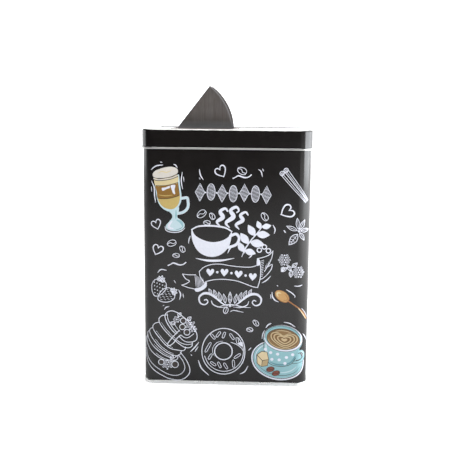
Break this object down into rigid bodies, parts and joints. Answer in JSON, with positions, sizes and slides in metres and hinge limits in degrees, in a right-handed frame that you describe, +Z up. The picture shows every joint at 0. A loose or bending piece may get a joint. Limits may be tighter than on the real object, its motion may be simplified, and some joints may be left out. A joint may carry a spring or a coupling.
{
  "type": "coffee tin",
  "caption": "Upright rectangular tinplate coffee tin with a slip-on lid and a flip-up pouring spout hinged in the lid.",
  "frame": {"origin": "centre of the rectangle that the base seam stands on", "axes": "+Z up, +X to the right seen from the front, -Y out of the front face"},
  "size_m": [0.1256, 0.0834, 0.221],
  "materials": {
    "lacquered_tin": "satin black printed lacquer on tinplate",
    "lid_lacquer": "glossy black lacquer on tinplate",
    "bare_tin": "bare bright tinplate",
    "spout_steel": "dull rolled steel with faint staining",
    "pin_wire": "drawn wire, peened at the ends",
    "printed_ink": "opaque printing ink under clear lacquer"
  },
  "bodies": {
    "body": {"body_shell": "lacquered_tin", "base_panel": "bare_tin"},
    "lid": {"lid": "lid_lacquer", "spout_frame": "spout_steel", "hinge_pin": "pin_wire"},
    "chute": {"spout_chute": "spout_steel"}
  },
  "joints": [
    {"name": "lid_lift", "type": "slide", "parent": "body", "child": "lid", "axis": [0, 0, 1], "range_m": [0, 0.06]},
    {"name": "spout_hinge", "type": "hinge", "parent": "lid", "child": "chute", "pos_m": [-0.03845, 0, 0.18775], "axis": [0, 1, 0], "range_deg": [0, 52]}
  ]
}
